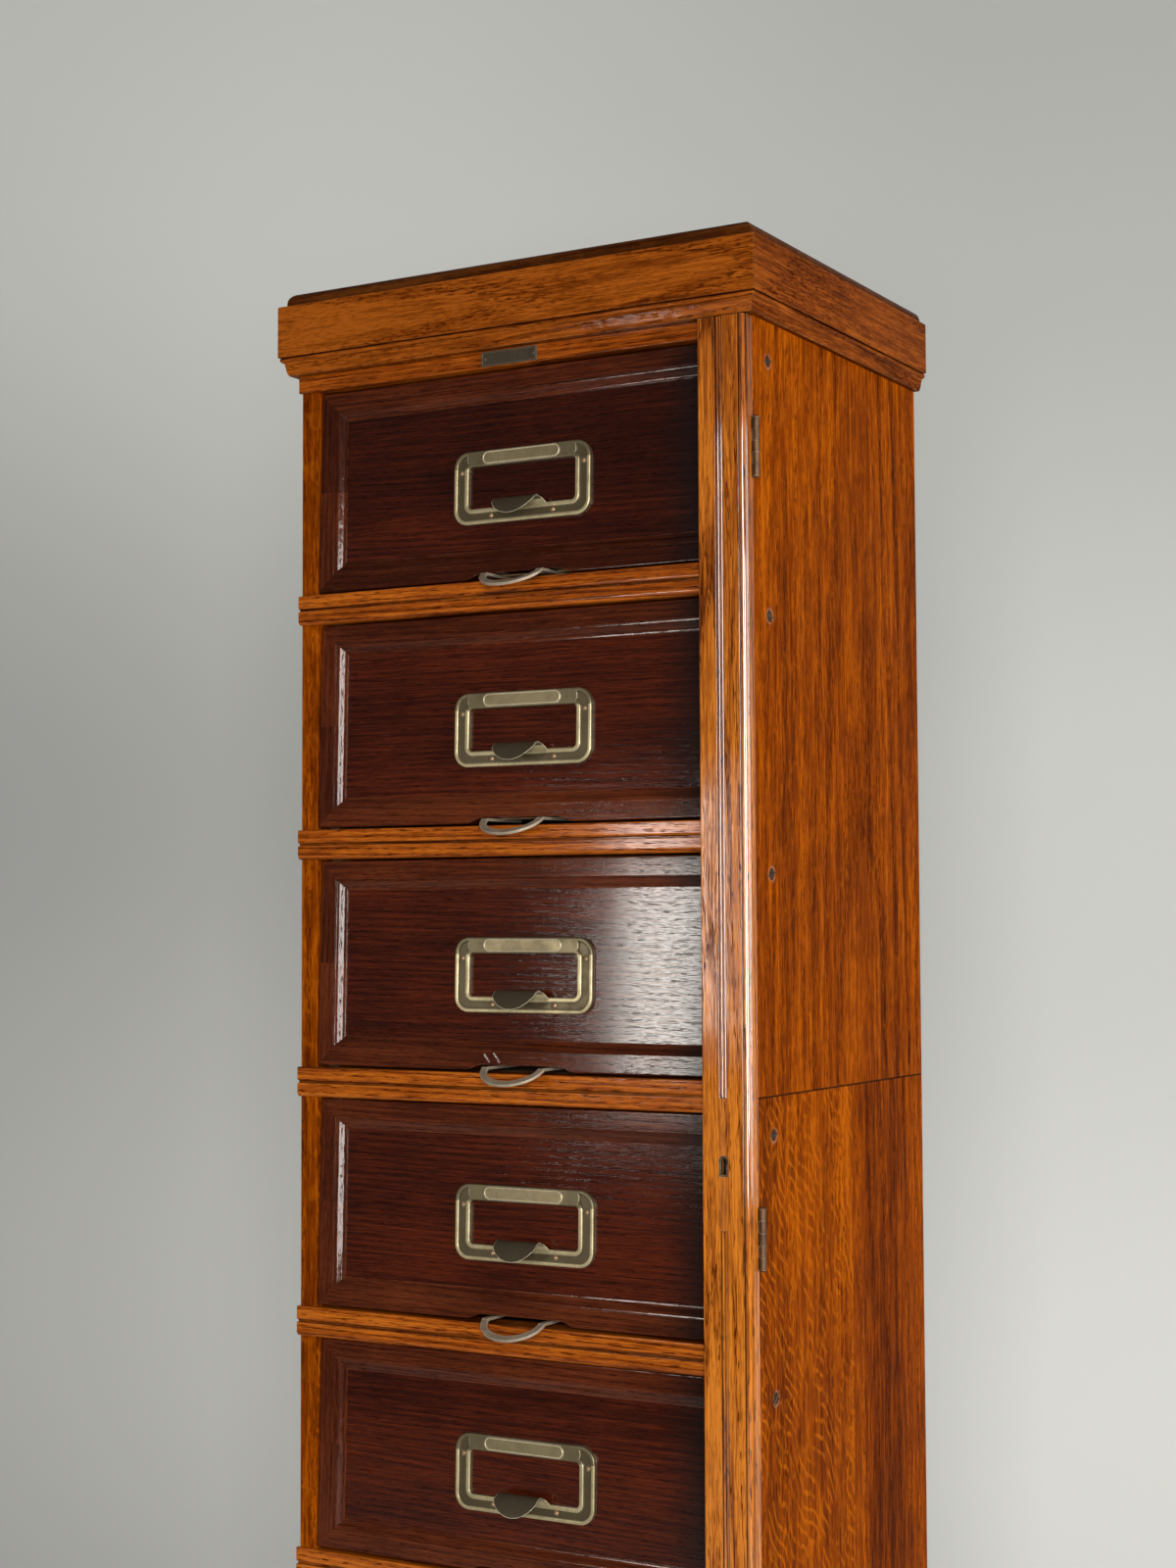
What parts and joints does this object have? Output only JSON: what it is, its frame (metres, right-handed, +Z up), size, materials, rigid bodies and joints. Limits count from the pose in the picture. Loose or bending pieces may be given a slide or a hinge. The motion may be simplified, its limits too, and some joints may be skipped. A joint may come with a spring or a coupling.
{
  "type": "filing chest of drawers",
  "caption": "Tall narrow oak filing chest with framed drawers, label holders with finger tongues, loop pulls and a hinged locking stile down one side.",
  "frame": {"origin": "on the floor under the middle of the case, between its sides and between its front and back", "axes": "+X to the right as seen from the front, +Y to the back, +Z up"},
  "size_m": [0.454, 0.353, 1.5655],
  "materials": {
    "case_oak": "varnished honey oak",
    "front_oak": "dark red-brown varnished oak",
    "top_oak": "dark varnished oak",
    "plain_oak": "unfinished oak",
    "nickel": "worn nickel plate",
    "aged_nickel": "dull nickel plate",
    "dark_brass": "tarnished brass",
    "steel": "plain steel"
  },
  "bodies": {
    "case": {"top_board": "top_oak", "cornice_frieze": "case_oak", "cornice_moulding": "case_oak", "top_rail": "case_oak", "front_rails": "case_oak", "upper_side_left": "case_oak", "upper_side_right": "case_oak", "lower_side_left": "case_oak", "lower_side_right": "case_oak", "back_panels": "plain_oak", "seam_boards": "plain_oak", "floor_board": "plain_oak", "plinth": "case_oak", "hinge_posts": "plain_oak", "drawer_runners": "plain_oak", "side_screws": "steel", "nameplate": "aged_nickel", "hinge_case_leaves": "dark_brass", "hinge_pins": "dark_brass", "lock_staple": "steel"},
    "stile": {"locking_stile": "case_oak", "hinge_stile_leaves": "dark_brass", "lock_case": "steel", "escutcheon": "dark_brass"},
    "bolt": {"lock_bolt": "steel"},
    "drawer_1": {"drawer_1_front_frame": "front_oak", "drawer_1_panel": "front_oak", "drawer_1_box": "plain_oak", "drawer_1_label_holder": "nickel", "drawer_1_pull": "aged_nickel"},
    "drawer_2": {"drawer_2_front_frame": "front_oak", "drawer_2_panel": "front_oak", "drawer_2_box": "plain_oak", "drawer_2_label_holder": "nickel", "drawer_2_pull": "aged_nickel"},
    "drawer_3": {"drawer_3_front_frame": "front_oak", "drawer_3_panel": "front_oak", "drawer_3_box": "plain_oak", "drawer_3_label_holder": "nickel", "drawer_3_pull": "aged_nickel"},
    "drawer_4": {"drawer_4_front_frame": "front_oak", "drawer_4_panel": "front_oak", "drawer_4_box": "plain_oak", "drawer_4_label_holder": "nickel", "drawer_4_pull": "aged_nickel"},
    "drawer_5": {"drawer_5_front_frame": "front_oak", "drawer_5_panel": "front_oak", "drawer_5_box": "plain_oak", "drawer_5_label_holder": "nickel", "drawer_5_pull": "aged_nickel"},
    "drawer_6": {"drawer_6_front_frame": "front_oak", "drawer_6_panel": "front_oak", "drawer_6_box": "plain_oak", "drawer_6_label_holder": "nickel", "drawer_6_pull": "aged_nickel"},
    "drawer_7": {"drawer_7_front_frame": "front_oak", "drawer_7_panel": "front_oak", "drawer_7_box": "plain_oak", "drawer_7_label_holder": "nickel", "drawer_7_pull": "aged_nickel"}
  },
  "joints": [
    {"name": "drawer_1_slide", "type": "slide", "parent": "case", "child": "drawer_1", "axis": [0, -1, 0], "range_m": [0, 0.24]},
    {"name": "drawer_2_slide", "type": "slide", "parent": "case", "child": "drawer_2", "axis": [0, -1, 0], "range_m": [0, 0.24]},
    {"name": "drawer_3_slide", "type": "slide", "parent": "case", "child": "drawer_3", "axis": [0, -1, 0], "range_m": [0, 0.24]},
    {"name": "drawer_4_slide", "type": "slide", "parent": "case", "child": "drawer_4", "axis": [0, -1, 0], "range_m": [0, 0.24]},
    {"name": "drawer_5_slide", "type": "slide", "parent": "case", "child": "drawer_5", "axis": [0, -1, 0], "range_m": [0, 0.24]},
    {"name": "drawer_6_slide", "type": "slide", "parent": "case", "child": "drawer_6", "axis": [0, -1, 0], "range_m": [0, 0.24]},
    {"name": "drawer_7_slide", "type": "slide", "parent": "case", "child": "drawer_7", "axis": [0, -1, 0], "range_m": [0, 0.24]},
    {"name": "stile_hinge", "type": "hinge", "parent": "case", "child": "stile", "pos_m": [0.21805, -0.1623, 0.787], "axis": [0, 0, 1], "range_deg": [0, 170]},
    {"name": "lock_bolt_slide", "type": "slide", "parent": "stile", "child": "bolt", "axis": [0, 0, 1], "range_m": [0, 0.012]}
  ]
}
